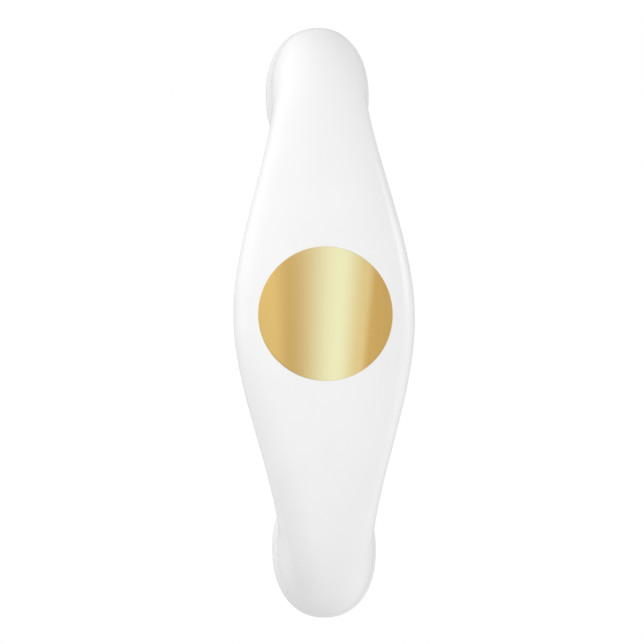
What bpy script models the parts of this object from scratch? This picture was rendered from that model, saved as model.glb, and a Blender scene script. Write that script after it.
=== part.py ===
"""Glazed ceramic bow pull for a drawer front, with a round gilt disc and its fixing hardware.

The pull stands upright: +Z runs along its length, -Y faces the user, and +Y points into the
drawer front. The origin lies on the mounting plane, halfway between the two screw axes.
"""

import math

import bmesh
import bpy
from mathutils import Matrix, Vector
from mathutils.bvhtree import BVHTree

# Driving dimensions, in metres.
HOLE_SPACING = 0.096
PULL_LENGTH = 0.124
PROJECTION = 0.028
BOW_WIDTH = 0.0376
BOW_THICKNESS = 0.0115
FOOT_LENGTH = 0.0286
FOOT_WIDTH = 0.0217
FOOT_FLARE = 0.0008
TIP_FLARE = 0.0005
PANEL_THICKNESS = 0.019
DISC_DIAMETER = 0.0278
THREAD_DIAMETER = 0.004
SCREW_LENGTH = 0.028
GAP = 0.0003

# Shape of the ceramic body.
LIP_HEIGHT = 0.001
FLARE_HEIGHT = 0.005
NECK_HEIGHT = 0.006
TAPER_REACH = 0.048
WAIST_HALF_WIDTH = 0.0096
WAIST_Z = 0.040
ARCH_POWER = 2.2
FOOT_POWER = 2.2
FRONT_POWER = 2.15
BACK_POWER = 2.6
WIDEST_AT_NECK = 0.5
WIDEST_AT_MIDDLE = 0.24
RING_POINTS = 44
FLARE_RINGS = 5
ARCH_RINGS = 20
BASE_ROUNDING = 0.0005
BASE_MIDDLE_SHARE = 0.3

# Hardware.
PAD_THICKNESS = 0.0008
PAD_INSET = 0.0012
PAD_BORE_RADIUS = 0.0046
SOCKET_RADIUS = 0.0046
SOCKET_DEPTH = 0.0140
CEMENT_WALL = 0.0009
CEMENT_FLOOR = 0.0010
INSERT_RADIUS = SOCKET_RADIUS - GAP - CEMENT_WALL - GAP
INSERT_LENGTH = 0.0110
INSERT_GROOVE_DEPTH = 0.0003
INSERT_GROOVE_SHARES = (0.38, 0.42, 0.58, 0.62)
SHANK_RADIUS = THREAD_DIAMETER / 2
INSERT_BORE_RADIUS = SHANK_RADIUS + GAP
WASHER_RADIUS = 0.0060
WASHER_THICKNESS = 0.0010
WASHER_EDGE = 0.0002
HEAD_RADIUS = 0.0040
HEAD_HEIGHT = 0.0026
HEAD_ROUNDING = 0.0010
TIP_CHAMFER = 0.0006
RECESS_SPAN = 0.0044
RECESS_SLOT = 0.0010
RECESS_DEPTH = 0.0016

# The gilt disc, a thin skin over the crown of the bow.
DISC_GAP = 0.0002
DISC_THICKNESS = 0.0003
DISC_RINGS = 6
DISC_POINTS = 48

# Places worked out from the sizes above. Depth is measured from the mounting plane towards the user.
SCREW_Z = HOLE_SPACING / 2
FOOT_DEPTH = PAD_THICKNESS + GAP
FOOT_CENTRE_Z = (PULL_LENGTH - FOOT_LENGTH) / 2
NECK_TIP_Z = PULL_LENGTH / 2 - TIP_FLARE
NECK_INNER_Z = PULL_LENGTH / 2 - FOOT_LENGTH + FOOT_FLARE
NECK_Z = (NECK_TIP_Z + NECK_INNER_Z) / 2
NECK_HALF_WIDTH = FOOT_WIDTH / 2 - FOOT_FLARE
NECK_DEPTH = FOOT_DEPTH + NECK_HEIGHT
OUTER_RISE = PROJECTION - NECK_DEPTH
INNER_RISE = OUTER_RISE - BOW_THICKNESS
WASHER_Y = PANEL_THICKNESS + GAP
HEAD_Y = WASHER_Y + WASHER_THICKNESS + GAP

ROUND_SEGMENTS = 32
MERGE_DISTANCE = 0.00001
SMOOTH_ANGLE = math.radians(35)
ALONG_Y = Matrix.Rotation(-math.pi / 2, 4, "X")
SIDES = {"upper": 1, "lower": -1}

COLOURS = {
    "glazed_ceramic": ((0.90, 0.90, 0.89, 1.0), 0.08, 0.0),
    "gilt": ((0.78, 0.56, 0.22, 1.0), 0.30, 0.6),
    "brass": ((0.72, 0.52, 0.22, 1.0), 0.35, 1.0),
    "cement": ((0.55, 0.53, 0.49, 1.0), 0.90, 0.0),
    "pad_rubber": ((0.80, 0.80, 0.78, 1.0), 0.50, 0.0),
    "zinc_steel": ((0.62, 0.63, 0.65, 1.0), 0.30, 1.0),
}


def clear_scene():
    for item in list(bpy.data.objects):
        bpy.data.objects.remove(item, do_unlink=True)


def new_collection(name):
    collection = bpy.data.collections.new(name)
    bpy.context.scene.collection.children.link(collection)
    return collection


def make_material(name):
    colour, roughness, metallic = COLOURS[name]
    material = bpy.data.materials.new(name)
    material.use_nodes = True
    shader = material.node_tree.nodes["Principled BSDF"]
    shader.inputs["Base Color"].default_value = colour
    shader.inputs["Roughness"].default_value = roughness
    shader.inputs["Metallic"].default_value = metallic
    return material


def add_object(name, bm, collection, material=None):
    """Turn a bmesh into an object, with smooth shading between its sharp edges."""
    mesh = bpy.data.meshes.new(name)
    bm.to_mesh(mesh)
    bm.free()
    mesh.shade_smooth()
    mesh.set_sharp_from_angle(angle=SMOOTH_ANGLE)
    item = bpy.data.objects.new(name, mesh)
    collection.objects.link(item)
    if material is not None:
        mesh.materials.append(material)
    return item


def add_cutter(name, bm, collection):
    cutter = add_object(name, bm, collection)
    cutter.hide_render = True
    cutter.display_type = "WIRE"
    return cutter


def cut(item, cutter, crossing=False):
    """Take the cutter out of an object. Crossing says that the cutter's own boxes overlap."""
    modifier = item.modifiers.new("cut_" + cutter.name, "BOOLEAN")
    modifier.operation = "DIFFERENCE"
    modifier.object = cutter
    modifier.use_self = crossing


def power_curve(angle, power):
    """A superellipse's cosine and sine: power 2 is a circle, and more is squarer."""
    cosine = math.cos(angle)
    sine = math.sin(angle)
    return (
        math.copysign(abs(cosine) ** (2 / power), cosine),
        math.copysign(abs(sine) ** (2 / power), sine),
    )


def bow_half_width(z):
    """Half the bow's width: widest at the middle, least at the waist, a little more at the neck."""
    swell = math.cos(math.pi / 2 * min(z / TAPER_REACH, 1)) ** 2
    tapered = WAIST_HALF_WIDTH + (BOW_WIDTH / 2 - WAIST_HALF_WIDTH) * swell
    past_waist = min(max((z - WAIST_Z) / (NECK_Z - WAIST_Z), 0), 1)
    widening = past_waist ** 2 * (3 - 2 * past_waist)
    return tapered + (NECK_HALF_WIDTH - WAIST_HALF_WIDTH) * widening


def section(bm, outer, inner, half_width, widest, outer_power, inner_power):
    """One closed ring of the body, in the plane through X that holds the outer and inner points."""
    centre = inner.lerp(outer, widest)
    ring = []
    for index in range(RING_POINTS):
        angle = 2 * math.pi * index / RING_POINTS
        outward = index <= RING_POINTS // 2
        across, along = power_curve(angle, outer_power if outward else inner_power)
        reach = (outer - centre) * along if outward else (centre - inner) * along
        ring.append(bm.verts.new(Vector((half_width * across, 0, 0)) + centre + reach))
    return ring


def foot_section(bm, height, growth):
    """A ring of the foot, parallel to the mounting plane and wider than the neck by growth.

    At the pull's tip the foot flares least, so the bow runs almost straight down to its base.
    """
    depth = FOOT_DEPTH + height
    outer = Vector((0, -depth, NECK_TIP_Z + growth * TIP_FLARE / FOOT_FLARE))
    inner = Vector((0, -depth, NECK_INNER_Z - growth))
    half_width = NECK_HALF_WIDTH + growth
    return section(bm, outer, inner, half_width, WIDEST_AT_NECK, FOOT_POWER, FOOT_POWER)


def flare_growth(height):
    """How far the foot stands out past the neck: a lip, then a hollow curve up to the neck."""
    rise = (height - LIP_HEIGHT) / (FLARE_HEIGHT - LIP_HEIGHT)
    return FOOT_FLARE * (1 + math.cos(math.pi * min(max(rise, 0), 1))) / 2


def arch_section(bm, turn):
    """A ring of the arch. Turn runs from 0 at the neck to a right angle at the middle."""
    across, rise = power_curve(turn, ARCH_POWER)
    if turn >= math.pi / 2:
        across = 0
    outer = Vector((0, -NECK_DEPTH - OUTER_RISE * rise, NECK_TIP_Z * across))
    inner = Vector((0, -NECK_DEPTH - INNER_RISE * rise, NECK_INNER_Z * across))
    share = math.sin(turn) ** 2
    widest = WIDEST_AT_NECK + (WIDEST_AT_MIDDLE - WIDEST_AT_NECK) * share
    outer_power = FOOT_POWER + (FRONT_POWER - FOOT_POWER) * share
    inner_power = FOOT_POWER + (BACK_POWER - FOOT_POWER) * share
    height = inner.lerp(outer, widest).z
    return section(bm, outer, inner, bow_half_width(height), widest, outer_power, inner_power)


def bridge(bm, rings):
    for lower, upper in zip(rings, rings[1:]):
        for index in range(len(lower)):
            following = (index + 1) % len(lower)
            bm.faces.new((lower[index], lower[following], upper[following], upper[index]))


def ceramic_body(collection, cutters, material):
    """The upper half is lofted from foot to middle, mirrored, then bored for the two inserts."""
    bm = bmesh.new()
    base_middle = BASE_ROUNDING * BASE_MIDDLE_SHARE
    rings = [
        foot_section(bm, 0, FOOT_FLARE - BASE_ROUNDING),
        foot_section(bm, base_middle, FOOT_FLARE - base_middle),
        foot_section(bm, BASE_ROUNDING, FOOT_FLARE),
    ]
    for index in range(FLARE_RINGS + 1):
        height = LIP_HEIGHT + (FLARE_HEIGHT - LIP_HEIGHT) * index / FLARE_RINGS
        rings.append(foot_section(bm, height, flare_growth(height)))
    for index in range(ARCH_RINGS + 1):
        rings.append(arch_section(bm, math.pi / 2 * index / ARCH_RINGS))
    bridge(bm, rings)
    bm.faces.new(rings[0])
    bmesh.ops.recalc_face_normals(bm, faces=bm.faces)
    body = add_object("ceramic_body", bm, collection, material)
    mirror = body.modifiers.new("lower_half", "MIRROR")
    mirror.use_axis = (False, False, True)
    mirror.merge_threshold = MERGE_DISTANCE
    for side, sign in SIDES.items():
        cut(body, socket_cutter(side, sign, cutters))
    return body


def cylinder_along_y(bm, radius, start_y, end_y, z, segments=ROUND_SEGMENTS):
    place = Matrix.Translation((0, (start_y + end_y) / 2, z)) @ ALONG_Y
    bmesh.ops.create_cone(
        bm,
        cap_ends=True,
        segments=segments,
        radius1=radius,
        radius2=radius,
        depth=end_y - start_y,
        matrix=place,
    )


def socket_cutter(side, sign, cutters):
    bm = bmesh.new()
    cylinder_along_y(bm, SOCKET_RADIUS, -SOCKET_DEPTH, PAD_THICKNESS, sign * SCREW_Z)
    return add_cutter("socket_cutter_" + side, bm, cutters)


def gold_disc(body, collection, material):
    """A round skin that follows the crown of the bow, found by dropping points onto the body."""
    graph = bpy.context.evaluated_depsgraph_get()
    surface = BVHTree.FromObject(body, graph)

    def skin_point(radius, angle, lift):
        start = Vector((radius * math.cos(angle), -2 * PROJECTION, radius * math.sin(angle)))
        hit = surface.ray_cast(start, Vector((0, 1, 0)))[0]
        return hit - Vector((0, lift, 0))

    bm = bmesh.new()
    caps = []
    for lift in (DISC_GAP, DISC_GAP + DISC_THICKNESS):
        rings = []
        for ring in range(DISC_RINGS):
            radius = DISC_DIAMETER / 2 * (ring + 1) / DISC_RINGS
            angles = [2 * math.pi * index / DISC_POINTS for index in range(DISC_POINTS)]
            rings.append([bm.verts.new(skin_point(radius, angle, lift)) for angle in angles])
        bridge(bm, rings)
        middle = bm.verts.new(skin_point(0, 0, lift))
        for index in range(DISC_POINTS):
            bm.faces.new((middle, rings[0][index], rings[0][(index + 1) % DISC_POINTS]))
        caps.append(rings[-1])
    bridge(bm, caps)
    bmesh.ops.recalc_face_normals(bm, faces=bm.faces)
    return add_object("gold_disc", bm, collection, material)


def turned_piece(name, profile, y, z, collection, material):
    """A turned piece on a screw axis. The profile is a closed loop of (radius, distance along +Y)."""
    bm = bmesh.new()
    points = [bm.verts.new((radius, 0, along)) for radius, along in profile]
    for index, point in enumerate(points):
        following = points[(index + 1) % len(points)]
        if point.co.x > 0 or following.co.x > 0:
            bm.edges.new((point, following))
    item = add_object(name, bm, collection, material)
    spin = item.modifiers.new("turn", "SCREW")
    spin.axis = "Z"
    spin.steps = ROUND_SEGMENTS
    spin.render_steps = ROUND_SEGMENTS
    spin.use_merge_vertices = True
    spin.merge_threshold = MERGE_DISTANCE
    item.rotation_euler = (-math.pi / 2, 0, 0)
    item.location = (0, y, z)
    return item


def threaded_insert(side, z, collection, material):
    """A brass bush whose knurled bands stand either side of a holding groove."""
    outer = INSERT_RADIUS
    groove = INSERT_RADIUS - INSERT_GROOVE_DEPTH
    edge = INSERT_GROOVE_DEPTH
    length = INSERT_LENGTH
    lower_band, groove_start, groove_end, upper_band = (
        length * share for share in INSERT_GROOVE_SHARES
    )
    profile = [
        (outer - edge, length),
        (outer, length - edge),
        (outer, upper_band),
        (groove, groove_end),
        (groove, groove_start),
        (outer, lower_band),
        (outer, edge),
        (outer - edge, 0),
        (INSERT_BORE_RADIUS, 0),
        (INSERT_BORE_RADIUS, length),
    ]
    y = -FOOT_DEPTH - GAP - length
    return turned_piece("insert_" + side, profile, y, z, collection, material)


def cement_cup(side, z, collection, material):
    """The cup of cement that holds the insert in its socket."""
    floor_y = -SOCKET_DEPTH + GAP
    depth = -FOOT_DEPTH - GAP - floor_y
    outer = SOCKET_RADIUS - GAP
    inner = outer - CEMENT_WALL
    profile = [
        (outer, depth),
        (outer, 0),
        (0, 0),
        (0, CEMENT_FLOOR),
        (inner, CEMENT_FLOOR),
        (inner, depth),
    ]
    return turned_piece("cement_" + side, profile, floor_y, z, collection, material)


def foot_pad(side, sign, collection, cutters, material):
    """A soft pad between the glazed foot and the drawer front, bored for the screw."""
    bm = bmesh.new()
    half_length = FOOT_LENGTH / 2 - PAD_INSET
    half_width = FOOT_WIDTH / 2 - PAD_INSET
    outline = []
    for index in range(RING_POINTS):
        across, along = power_curve(2 * math.pi * index / RING_POINTS, FOOT_POWER)
        place = Vector((half_width * across, 0, sign * FOOT_CENTRE_Z + half_length * along))
        outline.append(bm.verts.new(place))
    face = bm.faces.new(outline)
    grown = bmesh.ops.extrude_face_region(bm, geom=[face])["geom"]
    moved = [part for part in grown if isinstance(part, bmesh.types.BMVert)]
    bmesh.ops.translate(bm, verts=moved, vec=(0, -PAD_THICKNESS, 0))
    bmesh.ops.recalc_face_normals(bm, faces=bm.faces)
    pad = add_object("foot_pad_" + side, bm, collection, material)
    bore = bmesh.new()
    cylinder_along_y(bore, PAD_BORE_RADIUS, -FOOT_DEPTH, GAP, sign * SCREW_Z)
    cut(pad, add_cutter("pad_bore_cutter_" + side, bore, cutters))
    return pad


def flat_washer(side, z, collection, material):
    inner = SHANK_RADIUS + GAP
    profile = [
        (WASHER_RADIUS - WASHER_EDGE, WASHER_THICKNESS),
        (WASHER_RADIUS, WASHER_THICKNESS - WASHER_EDGE),
        (WASHER_RADIUS, 0),
        (inner, 0),
        (inner, WASHER_THICKNESS),
    ]
    return turned_piece("washer_" + side, profile, WASHER_Y, z, collection, material)


def machine_screw(side, z, collection, cutters, material):
    """A pan-head machine screw with a cross recess. Its head lies behind the drawer front."""
    arc = [math.radians(angle) for angle in (90, 60, 30, 0)]
    crown = [
        (
            HEAD_RADIUS - HEAD_ROUNDING + HEAD_ROUNDING * math.cos(angle),
            HEAD_HEIGHT - HEAD_ROUNDING + HEAD_ROUNDING * math.sin(angle),
        )
        for angle in arc
    ]
    profile = [
        (0, HEAD_HEIGHT),
        *crown,
        (HEAD_RADIUS, 0),
        (SHANK_RADIUS, 0),
        (SHANK_RADIUS, TIP_CHAMFER - SCREW_LENGTH),
        (SHANK_RADIUS - TIP_CHAMFER, -SCREW_LENGTH),
        (0, -SCREW_LENGTH),
    ]
    screw = turned_piece("screw_" + side, profile, HEAD_Y, z, collection, material)
    slots = bmesh.new()
    top_y = HEAD_Y + HEAD_HEIGHT
    for span_x, span_z in ((RECESS_SPAN, RECESS_SLOT), (RECESS_SLOT, RECESS_SPAN)):
        size = Matrix.Diagonal((span_x, 2 * RECESS_DEPTH, span_z, 1))
        bmesh.ops.create_cube(slots, size=1, matrix=Matrix.Translation((0, top_y, z)) @ size)
    cut(screw, add_cutter("recess_cutter_" + side, slots, cutters), crossing=True)
    return screw


def main():
    clear_scene()
    parts = new_collection("ceramic_drawer_pull")
    cutters = new_collection("cutters")
    materials = {name: make_material(name) for name in COLOURS}
    body = ceramic_body(parts, cutters, materials["glazed_ceramic"])
    gold_disc(body, parts, materials["gilt"])
    for side, sign in SIDES.items():
        z = sign * SCREW_Z
        threaded_insert(side, z, parts, materials["brass"])
        cement_cup(side, z, parts, materials["cement"])
        foot_pad(side, sign, parts, cutters, materials["pad_rubber"])
        flat_washer(side, z, parts, materials["zinc_steel"])
        machine_screw(side, z, parts, cutters, materials["zinc_steel"])


main()
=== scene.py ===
"""Looks of the glazed ceramic drawer pull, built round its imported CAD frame.

The bow, the gilt print and the fixing hardware are modelled finely here. Each stands for a CAD
node and rides on that node's body. +Z runs along the pull, -Y faces the user.
"""

import math

import bmesh
import bpy
from mathutils import Matrix, Vector


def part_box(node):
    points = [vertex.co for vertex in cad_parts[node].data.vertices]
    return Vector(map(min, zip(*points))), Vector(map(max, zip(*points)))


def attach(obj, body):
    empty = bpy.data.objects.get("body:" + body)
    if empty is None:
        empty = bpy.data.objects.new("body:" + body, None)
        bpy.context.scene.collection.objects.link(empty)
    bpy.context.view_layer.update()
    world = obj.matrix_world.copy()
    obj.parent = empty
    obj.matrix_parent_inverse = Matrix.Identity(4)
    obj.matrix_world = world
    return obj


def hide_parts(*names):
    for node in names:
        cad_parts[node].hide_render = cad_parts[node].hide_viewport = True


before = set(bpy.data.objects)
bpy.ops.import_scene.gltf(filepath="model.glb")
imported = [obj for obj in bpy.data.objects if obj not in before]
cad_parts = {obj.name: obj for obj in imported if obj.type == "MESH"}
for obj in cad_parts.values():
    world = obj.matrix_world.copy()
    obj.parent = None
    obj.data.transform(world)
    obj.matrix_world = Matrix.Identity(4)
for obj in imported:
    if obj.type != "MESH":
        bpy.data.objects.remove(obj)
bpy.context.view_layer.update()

SIDES = {"upper": 1, "lower": -1}

# Sizes that the frame gives, in metres. Depth is measured from the mounting plane to the user.
body_low, body_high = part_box("ceramic_body")
HALF_LENGTH = body_high.z
HALF_WIDTH = body_high.x
PROJECTION = -body_low.y
FOOT_DEPTH = -body_high.y
pad_low, pad_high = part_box("foot_pad_upper")
screw_low, screw_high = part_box("screw_upper")
washer_low, washer_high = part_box("washer_upper")
insert_low, insert_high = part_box("insert_upper")
SCREW_Z = (screw_low.z + screw_high.z) / 2
HEAD_RADIUS = screw_high.x
WASHER_RADIUS = washer_high.x
INSERT_RADIUS = insert_high.x
INSERT_LENGTH = insert_high.y - insert_low.y
CEMENT_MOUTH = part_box("cement_upper")[1].y
DISC_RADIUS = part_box("gold_disc")[1].x

# The form of the ceramic body, as in the CAD.
BOW_THICKNESS = 0.0115
FOOT_LENGTH = 0.0286
FOOT_WIDTH = 0.0217
FOOT_FLARE = 0.0008
TIP_FLARE = 0.0005
LIP_HEIGHT = 0.001
FLARE_HEIGHT = 0.005
NECK_HEIGHT = 0.006
TAPER_REACH = 0.048
WAIST_HALF_WIDTH = 0.0096
WAIST_Z = 0.040
ARCH_POWER = 2.2
FOOT_POWER = 2.2
FRONT_POWER = 2.15
BACK_POWER = 2.6
WIDEST_AT_NECK = 0.5
WIDEST_AT_MIDDLE = 0.24
BASE_ROUNDING = 0.0005
SOCKET_RADIUS = 0.0046
SOCKET_DEPTH = 0.0140
SOCKET_EDGE = 0.0004
NECK_TIP_Z = HALF_LENGTH - TIP_FLARE
NECK_INNER_Z = HALF_LENGTH - FOOT_LENGTH + FOOT_FLARE
NECK_Z = (NECK_TIP_Z + NECK_INNER_Z) / 2
NECK_HALF_WIDTH = FOOT_WIDTH / 2 - FOOT_FLARE
NECK_DEPTH = FOOT_DEPTH + NECK_HEIGHT
OUTER_RISE = PROJECTION - NECK_DEPTH
INNER_RISE = OUTER_RISE - BOW_THICKNESS

# Fineness of the meshes.
BODY_POINTS = 128
ARCH_RINGS = 170
FLARE_RINGS = 14
BASE_BANDS = 5
EDGE_STEPS = 5
SOFT_EDGE_STEPS = 4
ROUND_POINTS = 64
WASHER_POINTS = 96
POINTS_PER_TOOTH = 6
DISC_RINGS = 40
DISC_POINTS = 128
INSERT_ROWS = 40
CEMENT_WALL_ROWS = 12
CEMENT_DISH_ROWS = 10

# The gilt print, a film that stands a little proud of the glaze.
PRINT_HEIGHT = 0.00006
PRINT_SUNK = 0.00003
PRINT_RIM = 0.0002

# The search for the print's points on the bow: rounds, a small turn in radians, a miss in metres.
NEWTON_ROUNDS = 12
NEWTON_STEP = 1e-5
NEWTON_MISS = 1e-9

# The hair's breadth between pieces that rest on each other, and the rounding of metal edges.
TOUCH = 0.00002
METAL_EDGE = 0.00015

# The screws. The frame gives their length, the head's height and where they lie. The thread's
# crest and flank each take up a share of half the pitch, and the rest is its root.
SHANK_RADIUS = 0.002
THREAD_PITCH = 0.0007
THREAD_DEPTH = 0.00043
THREAD_CREST = 0.125
THREAD_FLANK = 0.625
THREAD_RUNOUT = 0.0008
THREAD_ROWS_PER_TURN = 12
TIP_CHAMFER = 0.0006
TIP_BEVEL = TIP_CHAMFER * 0.6
HEAD_SIDE = 0.0008
UNDER_HEAD_RINGS = (0.3, 0.7)
DOME_POWER = 2.8
DOME_STEPS = 14
RECESS_DEPTH = 0.0018
RECESS_HALF_SPAN = 0.0022
RECESS_HALF_SLOT = 0.0005
RECESS_OVERSHOOT = 0.0001
HEAD_UNDER = washer_high.y + TOUCH
HEAD_HEIGHT = screw_high.y - HEAD_UNDER
SHANK_IN_HEAD = HEAD_HEIGHT * 0.2
SCREW_TIP = screw_low.y - HEAD_UNDER

# Washers, inserts, cement and pads. An insert's groove and knurled bands are shares of its length.
WASHER_BORE = SHANK_RADIUS + 0.0003
INSERT_BORE = SHANK_RADIUS + TOUCH * 3
INSERT_EDGE = 0.0003
INSERT_GROOVE = (0.42, 0.58)
KNURL_BANDS = ((0.06, 0.36), (0.64, 0.94))
KNURL_TEETH = 32
KNURL_HEIGHT = 0.00022
CEMENT_OVERLAP = 0.0002
CEMENT_DISH = 0.0004
CEMENT_RIPPLE = 0.00006
CEMENT_RIPPLE_REACH = 0.001
PAD_EDGE = 0.0003

# Edges sharper than this many degrees stay hard when a piece is shaded smooth.
HARD_EDGE = 35


# ---------------------------------------------------------------- meshes


def shade(mesh):
    mesh.shade_smooth()
    mesh.set_sharp_from_angle(angle=math.radians(HARD_EDGE))


def add_mesh(name, bm, materials):
    bmesh.ops.recalc_face_normals(bm, faces=bm.faces)
    mesh = bpy.data.meshes.new(name)
    bm.to_mesh(mesh)
    bm.free()
    shade(mesh)
    for material in materials:
        mesh.materials.append(material)
    piece = bpy.data.objects.new(name, mesh)
    bpy.context.scene.collection.objects.link(piece)
    return piece


def add_ring(bm, points):
    return [bm.verts.new(point) for point in points]


def bridge(bm, rings, material_index=0):
    for lower, upper in zip(rings, rings[1:]):
        for index in range(len(lower)):
            following = (index + 1) % len(lower)
            face = bm.faces.new((lower[index], lower[following], upper[following], upper[index]))
            face.material_index = material_index


def close_end(bm, ring, centre, material_index=0):
    """Close a ring with a fan of faces round its centre."""
    middle = bm.verts.new(centre)
    for index in range(len(ring)):
        face = bm.faces.new((middle, ring[index], ring[(index + 1) % len(ring)]))
        face.material_index = material_index


def power_curve(angle, power):
    """A superellipse's cosine and sine: power 2 is a circle, and more is squarer."""
    cosine = math.cos(angle)
    sine = math.sin(angle)
    return (
        math.copysign(abs(cosine) ** (2 / power), cosine),
        math.copysign(abs(sine) ** (2 / power), sine),
    )


def round_corner(radius, along, corner, start, end, steps=6):
    """Points of a rounded corner in a turned profile, as (radius, distance) pairs."""
    points = []
    for step in range(steps + 1):
        angle = math.radians(start + (end - start) * step / steps)
        points.append((radius + corner * math.cos(angle), along + corner * math.sin(angle)))
    return points


def turned(bm, profile, y, z, closed=False, shape=None, points=ROUND_POINTS):
    """Turn a profile of (radius, distance along +Y) about a screw's axis.

    Shape may change each radius by angle and distance, for a thread or a knurl.
    """
    rings = []
    for radius, along in profile:
        ring = []
        for index in range(points):
            angle = 2 * math.pi * index / points
            reach = shape(radius, along, angle) if shape else radius
            ring.append(Vector((reach * math.cos(angle), y + along, z + reach * math.sin(angle))))
        rings.append(add_ring(bm, ring))
    if closed:
        rings.append(rings[0])
    bridge(bm, rings)
    return rings


# ---------------------------------------------------------------- ceramic body


def bow_half_width(z):
    """Half the bow's width: widest at the middle, least at the waist, a little more at the neck."""
    z = abs(z)
    swell = math.cos(math.pi / 2 * min(z / TAPER_REACH, 1)) ** 2
    tapered = WAIST_HALF_WIDTH + (HALF_WIDTH - WAIST_HALF_WIDTH) * swell
    past_waist = min(max((z - WAIST_Z) / (NECK_Z - WAIST_Z), 0), 1)
    widening = past_waist**2 * (3 - 2 * past_waist)
    return tapered + (NECK_HALF_WIDTH - WAIST_HALF_WIDTH) * widening


def section_point(outer, inner, half_width, widest, outer_power, inner_power, angle):
    """A point of the closed section in the plane through X that holds outer and inner."""
    centre = inner.lerp(outer, widest)
    outward = math.sin(angle) >= 0
    across, along = power_curve(angle, outer_power if outward else inner_power)
    reach = (outer - centre) * along if outward else (centre - inner) * along
    return Vector((half_width * across, 0, 0)) + centre + reach


def arch_point(turn, angle):
    """A point of the arch. Turn runs from 0 at the upper neck to half a turn at the lower."""
    across, rise = power_curve(turn, ARCH_POWER)
    outer = Vector((0, -NECK_DEPTH - OUTER_RISE * rise, NECK_TIP_Z * across))
    inner = Vector((0, -NECK_DEPTH - INNER_RISE * rise, NECK_INNER_Z * across))
    share = math.sin(turn) ** 2
    widest = WIDEST_AT_NECK + (WIDEST_AT_MIDDLE - WIDEST_AT_NECK) * share
    outer_power = FOOT_POWER + (FRONT_POWER - FOOT_POWER) * share
    inner_power = FOOT_POWER + (BACK_POWER - FOOT_POWER) * share
    half_width = bow_half_width(inner.lerp(outer, widest).z)
    return section_point(outer, inner, half_width, widest, outer_power, inner_power, angle)


def foot_ring(height, growth, sign):
    """A ring of the foot, wider than the neck by growth. At the pull's tip it flares least."""
    depth = FOOT_DEPTH + height
    outer = Vector((0, -depth, sign * (NECK_TIP_Z + growth * TIP_FLARE / FOOT_FLARE)))
    inner = Vector((0, -depth, sign * (NECK_INNER_Z - growth)))
    half_width = NECK_HALF_WIDTH + growth
    shape = (outer, inner, half_width, WIDEST_AT_NECK, FOOT_POWER, FOOT_POWER)
    return [section_point(*shape, 2 * math.pi * k / BODY_POINTS) for k in range(BODY_POINTS)]


def flare_growth(height):
    """How far the foot stands out past the neck: a lip, then a hollow curve up to the neck."""
    rise = (height - LIP_HEIGHT) / (FLARE_HEIGHT - LIP_HEIGHT)
    return FOOT_FLARE * (1 + math.cos(math.pi * min(max(rise, 0), 1))) / 2


def socket_ring(radius, depth, sign):
    angles = [2 * math.pi * k / BODY_POINTS for k in range(BODY_POINTS)]
    return [
        Vector((radius * math.cos(a), -depth, sign * (SCREW_Z + radius * math.sin(a))))
        for a in angles
    ]


def foot_rings(sign):
    """Rings from the socket's floor, out over the base and up the flare to the neck.

    Returns the rough unglazed rings, and apart from them the glazed ones that follow.
    """
    base = foot_ring(0, FOOT_FLARE - BASE_ROUNDING, sign)
    mouth = socket_ring(SOCKET_RADIUS + SOCKET_EDGE, FOOT_DEPTH, sign)
    rough = [
        socket_ring(SOCKET_RADIUS / 2, SOCKET_DEPTH, sign),
        socket_ring(SOCKET_RADIUS - SOCKET_EDGE, SOCKET_DEPTH, sign),
        socket_ring(SOCKET_RADIUS, SOCKET_DEPTH - SOCKET_EDGE, sign),
        socket_ring(SOCKET_RADIUS, FOOT_DEPTH + SOCKET_EDGE, sign),
        mouth,
    ]
    for band in range(1, BASE_BANDS):
        share = band / BASE_BANDS
        rough.append([inner.lerp(outer, share) for inner, outer in zip(mouth, base)])
    rough.append(base)
    glazed = []
    for step in range(1, EDGE_STEPS + 1):
        angle = math.pi / 2 * step / EDGE_STEPS
        growth = FOOT_FLARE - BASE_ROUNDING * (1 - math.sin(angle))
        glazed.append(foot_ring(BASE_ROUNDING * (1 - math.cos(angle)), growth, sign))
    for step in range(FLARE_RINGS + 1):
        height = LIP_HEIGHT + (FLARE_HEIGHT - LIP_HEIGHT) * step / FLARE_RINGS
        glazed.append(foot_ring(height, flare_growth(height), sign))
    return rough, glazed


def make_ceramic_body(glaze, bisque):
    bm = bmesh.new()
    rough_upper, glazed_upper = foot_rings(1)
    rough_lower, glazed_lower = foot_rings(-1)
    arch = []
    for step in range(ARCH_RINGS + 1):
        turn = math.pi * step / ARCH_RINGS
        arch.append([arch_point(turn, 2 * math.pi * k / BODY_POINTS) for k in range(BODY_POINTS)])
    rough_upper = [add_ring(bm, ring) for ring in rough_upper]
    rough_lower = [add_ring(bm, ring) for ring in rough_lower]
    glazed = [add_ring(bm, ring) for ring in glazed_upper + arch + glazed_lower[::-1]]
    bridge(bm, [rough_upper[-1], *glazed, rough_lower[-1]])
    for rough, sign in ((rough_upper, 1), (rough_lower, -1)):
        bridge(bm, rough, material_index=1)
        floor_centre = Vector((0, -SOCKET_DEPTH, sign * SCREW_Z))
        close_end(bm, rough[0], floor_centre, material_index=1)
    return add_mesh("glazed_bow", bm, (glaze, bisque))


# ---------------------------------------------------------------- gilt print


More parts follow.
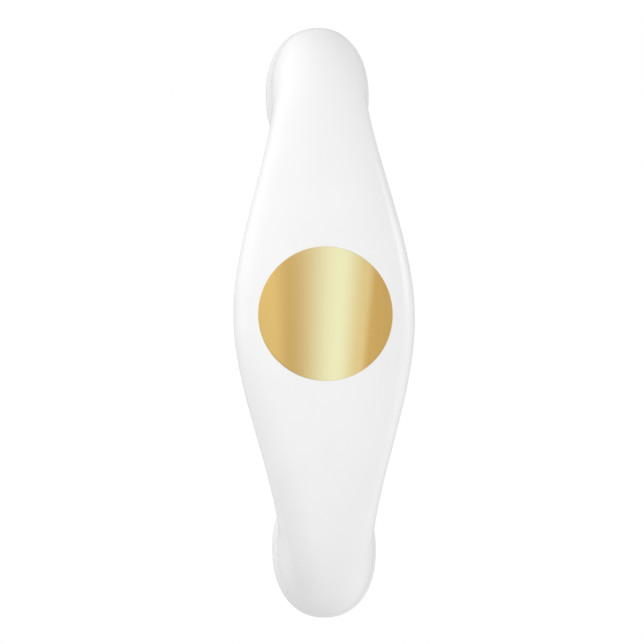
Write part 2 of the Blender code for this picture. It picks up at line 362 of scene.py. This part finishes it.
def crown_point(x, z):
    """The point of the bow's front at a given place, found by Newton's method on the arch."""
    turn = math.acos(z / NECK_TIP_Z)
    angle = math.acos(x / HALF_WIDTH)
    for _ in range(NEWTON_ROUNDS):
        here = arch_point(turn, angle)
        miss = Vector((x - here.x, z - here.z))
        if miss.length < NEWTON_MISS:
            break
        by_turn = (arch_point(turn + NEWTON_STEP, angle) - here) / NEWTON_STEP
        by_angle = (arch_point(turn, angle + NEWTON_STEP) - here) / NEWTON_STEP
        scale = by_turn.x * by_angle.z - by_angle.x * by_turn.z
        turn += (miss.x * by_angle.z - by_angle.x * miss.y) / scale
        angle += (by_turn.x * miss.y - miss.x * by_turn.z) / scale
    return arch_point(turn, angle)


def make_gilt_print(gilt):
    """The print is a film with a soft rim, sunk a little into the glaze."""
    thickness = PRINT_HEIGHT + PRINT_SUNK
    profile = [(DISC_RADIUS * (k + 1) / DISC_RINGS, PRINT_HEIGHT) for k in range(DISC_RINGS - 2)]
    profile.append((DISC_RADIUS - PRINT_RIM, PRINT_HEIGHT))
    for step in range(1, SOFT_EDGE_STEPS + 1):
        angle = math.pi / 2 * step / SOFT_EDGE_STEPS
        radius = DISC_RADIUS - PRINT_RIM * (1 - math.sin(angle))
        profile.append((radius, thickness * math.cos(angle) - PRINT_SUNK))
    bm = bmesh.new()
    rings = []
    for radius, lift in profile:
        ring = []
        for index in range(DISC_POINTS):
            angle = 2 * math.pi * index / DISC_POINTS
            point = crown_point(radius * math.cos(angle), radius * math.sin(angle))
            ring.append(point - Vector((0, lift, 0)))
        rings.append(add_ring(bm, ring))
    back = [vertex.co + Vector((0, thickness, 0)) for vertex in rings[DISC_RINGS // 2]]
    bridge(bm, [*rings, add_ring(bm, back)])
    close_end(bm, rings[0], crown_point(0, 0) - Vector((0, PRINT_HEIGHT, 0)))
    bmesh.ops.holes_fill(bm, edges=[edge for edge in bm.edges if edge.is_boundary])
    return add_mesh("gilt_print", bm, (gilt,))


# ---------------------------------------------------------------- hardware


def thread_radius(radius, along, angle):
    """Cut the right-hand thread into the shank. Along is measured from the head's underside."""
    near_tip = along < SCREW_TIP + TIP_CHAMFER
    if radius < SHANK_RADIUS - TOUCH or along > -THREAD_RUNOUT or near_tip:
        return radius
    phase = (along / THREAD_PITCH + angle / (2 * math.pi)) % 1
    from_crest = 2 * abs(phase - 0.5)
    return radius - THREAD_DEPTH * min(max((from_crest - THREAD_CREST) / THREAD_FLANK, 0), 1)


def add_shank(bm, z):
    """The threaded shank, which runs up into the head."""
    root = SHANK_RADIUS - THREAD_DEPTH
    profile = [(root - TIP_CHAMFER, SCREW_TIP), (root, SCREW_TIP + TIP_BEVEL)]
    start = SCREW_TIP + TIP_CHAMFER
    rows = round(-start / THREAD_PITCH * THREAD_ROWS_PER_TURN)
    profile.extend((SHANK_RADIUS, start * (1 - row / rows)) for row in range(rows))
    profile.append((SHANK_RADIUS + TOUCH, -TOUCH))
    profile.append((root, SHANK_IN_HEAD))
    rings = turned(bm, profile, HEAD_UNDER, z, shape=thread_radius)
    close_end(bm, rings[0], Vector((0, HEAD_UNDER + SCREW_TIP, z)))
    close_end(bm, rings[-1], Vector((0, HEAD_UNDER + SHANK_IN_HEAD, z)))


def add_pan_head(bm, z):
    """A pan head: a short straight side under a flattened dome."""
    profile = [(HEAD_RADIUS * share, 0) for share in UNDER_HEAD_RINGS]
    profile.extend(round_corner(HEAD_RADIUS - METAL_EDGE, METAL_EDGE, METAL_EDGE, -90, 0))
    for step in range(DOME_STEPS):
        angle = math.pi / 2 * step / DOME_STEPS
        across, rise = power_curve(angle, DOME_POWER)
        profile.append((HEAD_RADIUS * across, HEAD_SIDE + (HEAD_HEIGHT - HEAD_SIDE) * rise))
    rings = turned(bm, profile, HEAD_UNDER, z)
    close_end(bm, rings[0], Vector((0, HEAD_UNDER, z)))
    close_end(bm, rings[-1], Vector((0, HEAD_UNDER + HEAD_HEIGHT, z)))


def recess_cutter(z):
    """A cross for the driver, which narrows towards its floor.

    Each level is a place along +Y, then half the span and half the slot of the cross there.
    """
    bm = bmesh.new()
    top = HEAD_UNDER + HEAD_HEIGHT + RECESS_OVERSHOOT
    levels = (
        (top, RECESS_HALF_SPAN, RECESS_HALF_SLOT),
        (top - RECESS_DEPTH * 0.7, RECESS_HALF_SPAN * 0.6, RECESS_HALF_SLOT * 0.8),
        (top - RECESS_DEPTH, RECESS_HALF_SLOT * 0.6, RECESS_HALF_SLOT * 0.6),
    )
    rings = []
    for y, reach, slot in levels:
        corner = ((reach, -slot), (reach, slot), (slot, slot))
        ring = []
        for quarter in range(4):
            turn = Matrix.Rotation(math.pi / 2 * quarter, 2)
            for point in corner:
                x, up = turn @ Vector(point)
                ring.append(Vector((x, y, z + up)))
        rings.append(add_ring(bm, ring))
    bridge(bm, rings)
    bm.faces.new(rings[0])
    bm.faces.new(rings[-1])
    return add_mesh("recess_cutter", bm, ())


def cut_away(piece, cutter):
    """Cut the piece with a Boolean, keep the result as its mesh and remove the cutter."""
    modifier = piece.modifiers.new("cut", "BOOLEAN")
    modifier.operation = "DIFFERENCE"
    modifier.object = cutter
    graph = bpy.context.evaluated_depsgraph_get()
    mesh = bpy.data.meshes.new_from_object(piece.evaluated_get(graph))
    piece.modifiers.clear()
    piece.data = mesh
    bpy.data.objects.remove(cutter)


def make_screw(side, z, steel):
    """The head is cut first and the shank added afterwards, which keeps the Boolean quick."""
    bm = bmesh.new()
    add_pan_head(bm, z)
    piece = add_mesh("machine_screw_" + side, bm, (steel,))
    cut_away(piece, recess_cutter(z))
    bm = bmesh.new()
    bm.from_mesh(piece.data)
    add_shank(bm, z)
    bmesh.ops.recalc_face_normals(bm, faces=bm.faces)
    bm.to_mesh(piece.data)
    bm.free()
    shade(piece.data)
    return piece


def make_washer(side, z, steel):
    thickness = washer_high.y - washer_low.y
    edge = METAL_EDGE
    profile = [
        *round_corner(WASHER_RADIUS - edge, thickness - edge, edge, 90, 0, SOFT_EDGE_STEPS),
        *round_corner(WASHER_RADIUS - edge, edge, edge, 0, -90, SOFT_EDGE_STEPS),
        (WASHER_BORE + edge, 0),
        (WASHER_BORE, edge),
        (WASHER_BORE, thickness - edge),
        (WASHER_BORE + edge, thickness),
    ]
    bm = bmesh.new()
    turned(bm, profile, washer_low.y, z, closed=True, points=WASHER_POINTS)
    return add_mesh("flat_washer_" + side, bm, (steel,))


def knurled(radius, along, angle):
    """Cut teeth that run along the insert into its two outer bands."""
    in_band = any(start < along / INSERT_LENGTH < end for start, end in KNURL_BANDS)
    if radius < INSERT_RADIUS - TOUCH or not in_band:
        return radius
    return radius - KNURL_HEIGHT * (1 - abs(math.sin(KNURL_TEETH / 2 * angle)))


def make_insert(side, z, brass):
    length = INSERT_LENGTH
    edge = INSERT_EDGE
    groove_start, groove_end = INSERT_GROOVE
    profile = [(INSERT_RADIUS - edge, length)]
    for row in range(1, INSERT_ROWS):
        share = 1 - row / INSERT_ROWS
        inset = edge if groove_start < share < groove_end else 0
        profile.append((INSERT_RADIUS - inset, length * share))
    profile.extend([(INSERT_RADIUS - edge, 0), (INSERT_BORE + edge, 0), (INSERT_BORE, edge)])
    profile.extend([(INSERT_BORE, length - edge), (INSERT_BORE + edge, length)])
    bm = bmesh.new()
    points = KNURL_TEETH * POINTS_PER_TOOTH
    turned(bm, profile, insert_low.y, z, closed=True, shape=knurled, points=points)
    return add_mesh("threaded_insert_" + side, bm, (brass,))


def make_cement(side, z, cement):
    """Cement that fills the socket round the insert, with a dished and uneven surface."""
    outer = SOCKET_RADIUS - TOUCH
    inner = INSERT_RADIUS - CEMENT_OVERLAP
    floor = -SOCKET_DEPTH + TOUCH
    height = CEMENT_MOUTH - floor
    profile = [(outer, height * row / CEMENT_WALL_ROWS) for row in range(CEMENT_WALL_ROWS)]
    for row in range(CEMENT_DISH_ROWS + 1):
        share = row / CEMENT_DISH_ROWS
        dish = CEMENT_DISH * math.sin(math.pi * share)
        profile.append((outer + (inner - outer) * share, height - dish))
    profile.append((inner, insert_low.y - floor - TOUCH))

    def uneven(radius, along, angle):
        """Ripple the surface near the mouth with two waves of unlike lengths."""
        if along <= height - CEMENT_RIPPLE_REACH or radius >= outer - TOUCH:
            return radius
        return radius - CEMENT_RIPPLE * (math.sin(5 * angle + 1.3) + 0.6 * math.sin(11 * angle))

    bm = bmesh.new()
    rings = turned(bm, profile, floor, z, shape=uneven)
    close_end(bm, rings[0], Vector((0, floor, z)))
    close_end(bm, rings[-1], Vector((0, insert_low.y - TOUCH, z)))
    return add_mesh("cement_fill_" + side, bm, (cement,))


def make_pad(side, sign, rubber):
    """A moulded pad with rounded edges. It fills the space between the foot and the drawer."""
    thickness = FOOT_DEPTH - TOUCH
    half_length = (pad_high.z - pad_low.z) / 2
    half_width = pad_high.x
    centre_z = sign * (pad_high.z + pad_low.z) / 2

    def outline(inset, y):
        ring = []
        for index in range(BODY_POINTS):
            across, along = power_curve(2 * math.pi * index / BODY_POINTS, FOOT_POWER)
            z = centre_z + sign * (half_length - inset) * along
            ring.append(Vector(((half_width - inset) * across, y, z)))
        return ring

    def bore(growth, y):
        return [Vector((p.x, y, p.z)) for p in socket_ring(SOCKET_RADIUS + growth, 0, sign)]

    angles = [math.pi / 2 * step / SOFT_EDGE_STEPS for step in range(SOFT_EDGE_STEPS + 1)]
    outlines = []
    for angle in angles:
        inset = PAD_EDGE * (1 - math.sin(angle))
        outlines.append(outline(inset, -PAD_EDGE * (1 - math.cos(angle))))
    for angle in angles:
        inset = PAD_EDGE * (1 - math.cos(angle))
        outlines.append(outline(inset, -thickness + PAD_EDGE * (1 - math.sin(angle))))
    outlines.append(bore(PAD_EDGE, -thickness))
    outlines.append(bore(0, -thickness + PAD_EDGE))
    outlines.append(bore(0, -PAD_EDGE))
    outlines.append(bore(PAD_EDGE, 0))
    bm = bmesh.new()
    rings = [add_ring(bm, ring) for ring in outlines]
    bridge(bm, [*rings, rings[0]])
    return add_mesh("cushion_pad_" + side, bm, (rubber,))


# ---------------------------------------------------------------- materials


def linear(red, green, blue):
    """A display colour, each part from 0 to 255, as Blender's linear colour."""

    def part(value):
        value = value / 255
        return value / 12.92 if value <= 0.04045 else ((value + 0.055) / 1.055) ** 2.4

    return part(red), part(green), part(blue), 1.0


NOISE_ROUGHNESS = 0.55


class Surface:
    """A node material. Each helper adds one node and returns the socket that it makes."""

    def __init__(self, name, **settings):
        self.material = bpy.data.materials.new(name)
        self.material.use_nodes = True
        self.nodes = self.material.node_tree.nodes
        self.links = self.material.node_tree.links
        self.shader = self.nodes["Principled BSDF"]
        for socket, value in settings.items():
            self.shader.inputs[socket.replace("_", " ")].default_value = value
        self.place = self.nodes.new("ShaderNodeTexCoord").outputs["Object"]

    def put(self, value, socket):
        self.links.new(value, self.shader.inputs[socket])

    def feed(self, node, inputs):
        for key, value in inputs.items():
            socket = node.inputs[key]
            if isinstance(value, bpy.types.NodeSocket):
                self.links.new(value, socket)
            else:
                socket.default_value = value

    def stretched(self, scale, turn=(0, 0, 0)):
        node = self.nodes.new("ShaderNodeMapping")
        self.feed(node, {"Vector": self.place, "Scale": scale, "Rotation": turn})
        return node.outputs["Vector"]

    def noise(self, scale, detail, vector=None):
        node = self.nodes.new("ShaderNodeTexNoise")
        inputs = {"Vector": vector or self.place, "Scale": scale, "Detail": detail}
        self.feed(node, {**inputs, "Roughness": NOISE_ROUGHNESS})
        return node.outputs["Fac"]

    def cells(self, scale):
        node = self.nodes.new("ShaderNodeTexVoronoi")
        self.feed(node, {"Vector": self.place, "Scale": scale})
        return node.outputs["Distance"]

    def span(self, value, low, high, to_low=0.0, to_high=1.0):
        """Map a range of values onto another, without going past its ends."""
        node = self.nodes.new("ShaderNodeMapRange")
        inputs = {"Value": value, "From Min": low, "From Max": high}
        self.feed(node, {**inputs, "To Min": to_low, "To Max": to_high})
        return node.outputs["Result"]

    def math(self, operation, first, second):
        node = self.nodes.new("ShaderNodeMath")
        node.operation = operation
        self.feed(node, {0: first, 1: second})
        return node.outputs["Value"]

    def mix(self, share, first, second, blend="MIX"):
        node = self.nodes.new("ShaderNodeMix")
        node.data_type = "RGBA"
        node.blend_type = blend
        self.feed(node, {0: share, 6: first, 7: second})
        return node.outputs[2]

    def axis(self, letter, vector=None):
        node = self.nodes.new("ShaderNodeSeparateXYZ")
        self.feed(node, {"Vector": vector or self.place})
        return node.outputs[letter]

    def distance(self):
        """How far a place lies from the piece's own origin."""
        node = self.nodes.new("ShaderNodeVectorMath")
        node.operation = "LENGTH"
        self.feed(node, {"Vector": self.place})
        return node.outputs["Value"]

    def ramp(self, value, stops):
        node = self.nodes.new("ShaderNodeValToRGB")
        elements = node.color_ramp.elements
        for _ in stops[2:]:
            elements.new(0.5)
        for element, (position, colour) in zip(elements, stops):
            element.position = position
            element.color = colour
        node.color_ramp.interpolation = "EASE"
        self.feed(node, {"Fac": value})
        return node.outputs["Color"]

    def bump(self, height, strength, distance):
        node = self.nodes.new("ShaderNodeBump")
        self.feed(node, {"Height": height, "Strength": strength, "Distance": distance})
        self.put(node.outputs["Normal"], "Normal")


def glaze_waves(surface):
    """The slow waviness of poured glaze, with a fine orange peel on top."""
    slow = surface.noise(90, detail=1)
    fine = surface.noise(900, detail=2)
    return surface.math("ADD", slow, surface.math("MULTIPLY", fine, 0.06))


def glazed_white():
    """White glaze: faint clouding, rare pinholes, and clay showing where the glaze thins."""
    s = Surface("white_glaze", Roughness=0.1, IOR=1.5)
    cloud = s.span(s.noise(70, detail=4), 0.35, 0.65)
    white = s.mix(cloud, linear(244, 244, 244), linear(246, 246, 246))
    holes = s.span(s.cells(120), 0.012, 0.03, 1.0, 0.0)
    rare = s.span(s.noise(45, detail=0), 0.66, 0.7)
    white = s.mix(s.math("MULTIPLY", holes, rare), white, linear(150, 142, 130))
    edge = s.span(s.axis("Y"), -FOOT_DEPTH - 0.0006, -FOOT_DEPTH - 0.0002)
    worn = s.math("MULTIPLY", edge, s.span(s.noise(500, detail=2), 0.35, 0.65))
    white = s.mix(worn, white, linear(234, 229, 220))
    s.put(white, "Base Color")
    s.put(s.span(s.noise(300, detail=3), 0.3, 0.7, 0.09, 0.13), "Roughness")
    s.bump(glaze_waves(s), 0.35, 0.0003)
    return s.material


def bare_clay():
    """Unglazed fired clay on the foot's base and in the socket."""
    s = Surface("bare_clay", Roughness=0.85)
    grain = s.noise(1800, detail=5)
    colour = s.mix(s.span(grain, 0.35, 0.7), linear(240, 237, 230), linear(226, 221, 211))
    specks = s.span(s.cells(700), 0.08, 0.16, 0.35, 0.0)
    s.put(s.mix(specks, colour, linear(186, 174, 158)), "Base Color")
    s.put(s.span(grain, 0.3, 0.7, 0.75, 0.95), "Roughness")
    s.bump(grain, 0.5, 0.0001)
    return s.material


# The gilt's bands: display colours, and how far each lies from the disc's left edge to its right.
WARM_GOLD = linear(214, 180, 103)
DEEP_GOLD = linear(196, 162, 93)
CHAMPAGNE = linear(235, 232, 185)
AMBER = linear(224, 199, 133)
BRONZE = linear(207, 168, 91)
GILT_CREST = 0.60
GILT_BANDS = (
    (0.07, WARM_GOLD),
    (0.205, DEEP_GOLD),
    (GILT_CREST, CHAMPAGNE),
    (0.79, AMBER),
    (0.87, BRONZE),
    (1.00, BRONZE),
)
BAND_TILT = math.radians(-4)
# The bands crowd round the champagne crest, more so at the disc's lower edge than at its upper.
BAND_SQUEEZE = (1.17, 0.95)


def gilt():
    """Satin gold print: upright bands from deep gold to champagne, with fine brushed streaks."""
    s = Surface("gilt_foil", Metallic=0.35, Roughness=0.35)
    tilted = s.stretched((1, 1, 1), turn=(0, BAND_TILT, 0))
    across = s.span(s.axis("X", tilted), -DISC_RADIUS, DISC_RADIUS)
    squeeze = s.span(s.axis("Z", tilted), -DISC_RADIUS, DISC_RADIUS, *BAND_SQUEEZE)
    from_crest = s.math("MULTIPLY", s.math("SUBTRACT", across, GILT_CREST), squeeze)
    bands = s.ramp(s.math("ADD", from_crest, GILT_CREST), GILT_BANDS)
    streaks = s.noise(1.0, detail=4, vector=s.stretched((2600, 60, 60), turn=(0, BAND_TILT, 0)))
    streaked = s.mix(0.07, bands, s.mix(streaks, (0, 0, 0, 1), (1, 1, 1, 1)), "OVERLAY")
    s.put(streaked, "Base Color")
    s.put(s.span(streaks, 0.3, 0.7, 0.3, 0.42), "Roughness")
    s.bump(streaks, 0.05, 0.00002)
    return s.material


def zinc_steel():
    """Bright zinc plate, with turning marks, a little grime and a faint blue and yellow tint."""
    s = Surface("zinc_plate", Metallic=1.0, Roughness=0.28)
    tint = s.span(s.noise(260, detail=2), 0.35, 0.65)
    colour = s.mix(tint, linear(196, 200, 208), linear(206, 202, 190))
    grime = s.span(s.noise(900, detail=5), 0.55, 0.75, 0.0, 0.25)
    s.put(s.mix(grime, colour, linear(120, 118, 112)), "Base Color")
    marks = s.noise(1.0, detail=3, vector=s.stretched((300, 9000, 300)))
    s.put(s.span(marks, 0.3, 0.7, 0.2, 0.4), "Roughness")
    s.bump(marks, 0.12, 0.00003)
    return s.material


def turned_brass():
    """Machined brass, tarnished darker in random patches."""
    s = Surface("turned_brass", Metallic=1.0, Roughness=0.3)
    tarnish = s.span(s.noise(500, detail=4), 0.4, 0.7)
    s.put(s.mix(tarnish, linear(214, 178, 104), linear(166, 128, 70)), "Base Color")
    marks = s.noise(1.0, detail=2, vector=s.stretched((400, 8000, 400)))
    s.put(s.span(marks, 0.3, 0.7, 0.24, 0.45), "Roughness")
    s.bump(marks, 0.1, 0.00003)
    return s.material


def grey_cement():
    """Rough set cement, mottled and pitted."""
    s = Surface("grey_cement", Roughness=0.95)
    grain = s.noise(1500, detail=6)
    s.put(s.mix(grain, linear(150, 146, 138), linear(196, 192, 182)), "Base Color")
    s.put(s.span(grain, 0.3, 0.7, 0.85, 1.0), "Roughness")
    s.bump(grain, 0.8, 0.0002)
    return s.material


def clear_rubber():
    """Milky silicone, finely textured by its mould."""
    s = Surface("milky_silicone", Roughness=0.45)
    cloud = s.noise(400, detail=3)
    s.put(s.mix(cloud, linear(208, 210, 208), linear(228, 229, 226)), "Base Color")
    s.put(s.span(s.noise(2500, detail=2), 0.3, 0.7, 0.4, 0.6), "Roughness")
    s.bump(s.noise(3000, detail=2), 0.3, 0.00004)
    return s.material


def pale_floor_with_painted_glow():
    """A pale floor with a painted glow that grows with distance, so that it fades into the white
    room.
    """
    s = Surface("pale_floor_with_painted_glow", Roughness=0.8, Emission_Color=(1, 1, 1, 1))
    cloud = s.noise(3, detail=3)
    s.put(s.mix(cloud, linear(246, 246, 245), linear(250, 250, 250)), "Base Color")
    # Painted light: the floor glows, faintly near the pull and more strongly further out.
    s.put(s.span(s.distance(), 0.7, 5.0, 0.02, 0.3), "Emission Strength")
    return s.material


# ---------------------------------------------------------------- stage, light and camera

FLOOR_Z = -0.2
FLOOR_REACH = 18

# The camera looks at the pull's middle from a little to its left and below. Angles are in degrees.
CAMERA_DISTANCE = 1.2
VIEW_AZIMUTH = -2.5
VIEW_ELEVATION = -3.9
VIEW_ROLL = -0.86
VIEW_WIDTH = 0.13558
AIM_RIGHT = 0.00037
AIM_UP = 0.00017
SENSOR_WIDTH = 36
CLIP_START = 0.01
CLIP_END = 60

# The room's light all round the pull, and the panels and dim corners added to it:
# azimuth, elevation and reach in degrees, then strength.
ROOM_LIGHT = 0.72
ROOM_PANELS = (
    (-95, 25, 35, 0.7),
    (-60, 30, 60, 0.65),
    (100, 0, 28, 0.7),
    (95, 15, 15, 1.3),
    (0, 0, 50, 0.45),
    (0, -90, 85, 0.18),
    (-20, 40, 60, 0.05),
    (150, 15, 50, -0.08),
    (0, 80, 55, -0.2),
    (85, 65, 45, -0.22),
    (-75, -35, 45, -0.85),
    (-130, 30, 35, 0.18),
    (-120, -35, 40, -0.1),
)


def direction(azimuth, elevation):
    """The way to something seen from the pull. Azimuth 0 is the user's side, 90 is +X."""
    a = math.radians(azimuth)
    e = math.radians(elevation)
    return Vector((math.sin(a) * math.cos(e), -math.cos(a) * math.cos(e), math.sin(e)))


def make_floor():
    """The floor is only seen. The pull is lit and mirrored by the room's lower half instead."""
    mesh = bpy.data.meshes.new("floor")
    bm = bmesh.new()
    bmesh.ops.create_grid(bm, x_segments=1, y_segments=1, size=FLOOR_REACH)
    bm.to_mesh(mesh)
    bm.free()
    mesh.materials.append(pale_floor_with_painted_glow())
    floor = bpy.data.objects.new("floor", mesh)
    floor.location = (0, 0, FLOOR_Z)
    floor.visible_diffuse = False
    floor.visible_glossy = False
    floor.visible_shadow = False
    bpy.context.scene.collection.objects.link(floor)


def make_world():
    """A white room of soft panels and dim corners. The camera itself sees it plain white."""
    world = bpy.data.worlds.new("studio")
    bpy.context.scene.world = world
    world.use_nodes = True
    nodes = world.node_tree.nodes
    links = world.node_tree.links
    way = nodes.new("ShaderNodeTexCoord").outputs["Generated"]

    def plus(first, second):
        total = nodes.new("ShaderNodeMath")
        links.new(first, total.inputs[0])
        links.new(second, total.inputs[1])
        return total.outputs["Value"]

    def panel(azimuth, elevation, reach, strength):
        """Light that fades out from its middle until it is reach degrees away."""
        nearness = nodes.new("ShaderNodeVectorMath")
        nearness.operation = "DOT_PRODUCT"
        nearness.inputs[1].default_value = direction(azimuth, elevation)
        links.new(way, nearness.inputs[0])
        fade = nodes.new("ShaderNodeMapRange")
        fade.interpolation_type = "SMOOTHSTEP"
        fade.inputs["From Min"].default_value = math.cos(math.radians(reach))
        fade.inputs["To Max"].default_value = strength
        links.new(nearness.outputs["Value"], fade.inputs["Value"])
        return fade.outputs["Result"]

    base = nodes.new("ShaderNodeValue")
    base.outputs["Value"].default_value = ROOM_LIGHT
    light = base.outputs["Value"]
    for azimuth, elevation, reach, strength in ROOM_PANELS:
        light = plus(light, panel(azimuth, elevation, reach, strength))
    pick = nodes.new("ShaderNodeMix")
    pick.inputs[3].default_value = 1.0
    links.new(nodes.new("ShaderNodeLightPath").outputs["Is Camera Ray"], pick.inputs[0])
    links.new(light, pick.inputs[2])
    background = nodes["Background"]
    background.inputs["Color"].default_value = (1, 1, 1, 1)
    links.new(pick.outputs[0], background.inputs["Strength"])


def make_camera():
    data = bpy.data.cameras.new("camera")
    data.sensor_width = SENSOR_WIDTH
    data.lens = SENSOR_WIDTH * CAMERA_DISTANCE / VIEW_WIDTH
    data.clip_start = CLIP_START
    data.clip_end = CLIP_END
    camera = bpy.data.objects.new("camera", data)
    back = direction(VIEW_AZIMUTH, VIEW_ELEVATION)
    level = back.to_track_quat("Z", "Y")
    right = level @ Vector((1, 0, 0))
    up = level @ Vector((0, 1, 0))
    camera.location = back * CAMERA_DISTANCE + right * AIM_RIGHT + up * AIM_UP
    camera.rotation_mode = "QUATERNION"
    roll = Matrix.Rotation(math.radians(VIEW_ROLL), 4, "Z").to_quaternion()
    camera.rotation_quaternion = level @ roll
    bpy.context.scene.collection.objects.link(camera)
    bpy.context.scene.camera = camera


def stand_for(piece, node, body):
    """Let a piece ride on a body, in the place of a CAD node."""
    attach(piece, body)
    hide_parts(node)


def make_pieces():
    steel = zinc_steel()
    brass = turned_brass()
    cement = grey_cement()
    rubber = clear_rubber()
    bow = make_ceramic_body(glazed_white(), bare_clay())
    stand_for(bow, "ceramic_body", "handle")
    stand_for(make_gilt_print(gilt()), "gold_disc", "handle")
    for side, sign in SIDES.items():
        z = sign * SCREW_Z
        stand_for(make_insert(side, z, brass), "insert_" + side, "handle")
        stand_for(make_cement(side, z, cement), "cement_" + side, "handle")
        stand_for(make_pad(side, sign, rubber), "foot_pad_" + side, "handle")
        stand_for(make_washer(side, z, steel), "washer_" + side, side + "_washer")
        stand_for(make_screw(side, z, steel), "screw_" + side, side + "_screw")


make_pieces()
make_floor()
make_world()
make_camera()
bpy.context.scene.view_settings.view_transform = "Standard"
